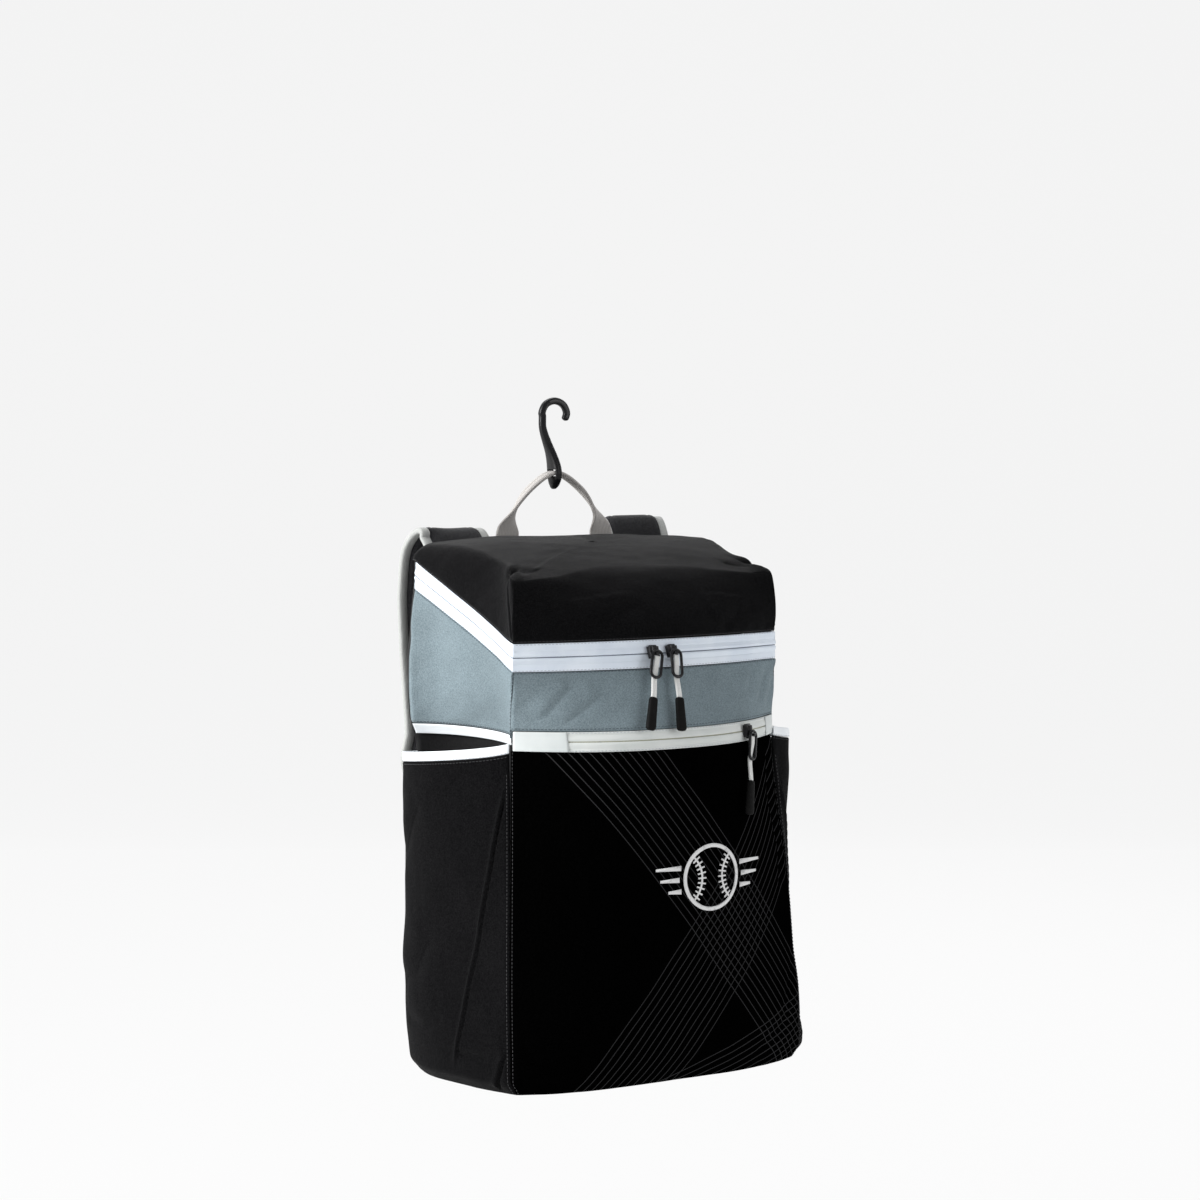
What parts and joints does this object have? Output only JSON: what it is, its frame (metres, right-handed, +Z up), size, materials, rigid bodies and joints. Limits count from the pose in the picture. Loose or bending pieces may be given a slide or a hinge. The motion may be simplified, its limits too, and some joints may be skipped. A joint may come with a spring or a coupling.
{
  "type": "bat backpack",
  "caption": "Hanging ball-player's backpack with a zipped lid, front pocket, open side sleeves for bats, padded straps, grab handle and fence hook.",
  "frame": {"origin": "inside top of the hook's crook, where the bag hangs", "axes": "+Z up, the bag hangs toward -Z; -Y is the front with the pocket; +X is to the right seen from the front"},
  "size_m": [0.365, 0.2679, 0.5848],
  "materials": {
    "black_polyester": "woven",
    "grey_polyester": "woven",
    "white_tape": "satin",
    "black_padding": "mesh",
    "black_webbing": "ribbed",
    "grey_webbing": "ribbed",
    "white_cord": "braided",
    "black_plastic": "gloss",
    "black_metal": "satin"
  },
  "bodies": {
    "root": {"base_panel": "black_polyester", "main_body": "black_polyester", "front_pocket": "black_polyester", "pocket_zip": "white_tape", "grey_band": "grey_polyester", "top_zip_lower": "white_tape", "top_zip_upper": "white_tape", "lid": "black_polyester", "sleeve_left": "black_polyester", "sleeve_binding_left": "white_tape", "side_strip_left": "white_tape", "strap_left": "black_padding", "ladder_lock_left": "black_plastic", "lower_webbing_left": "black_webbing", "sleeve_right": "black_polyester", "sleeve_binding_right": "white_tape", "side_strip_right": "white_tape", "strap_right": "black_padding", "ladder_lock_right": "black_plastic", "lower_webbing_right": "black_webbing", "back_pad": "black_padding", "yoke": "black_polyester", "handle": "grey_webbing", "fence_hook": "black_plastic", "zip_slider_1": "black_metal", "pull_loop_1": "black_metal", "pull_cord_1": "white_cord", "pull_tip_1": "black_plastic", "zip_slider_2": "black_metal", "pull_loop_2": "black_metal", "pull_cord_2": "white_cord", "pull_tip_2": "black_plastic", "zip_slider_3": "black_metal", "pull_loop_3": "black_metal", "pull_cord_3": "white_cord", "pull_tip_3": "black_plastic"}
  },
  "joints": []
}
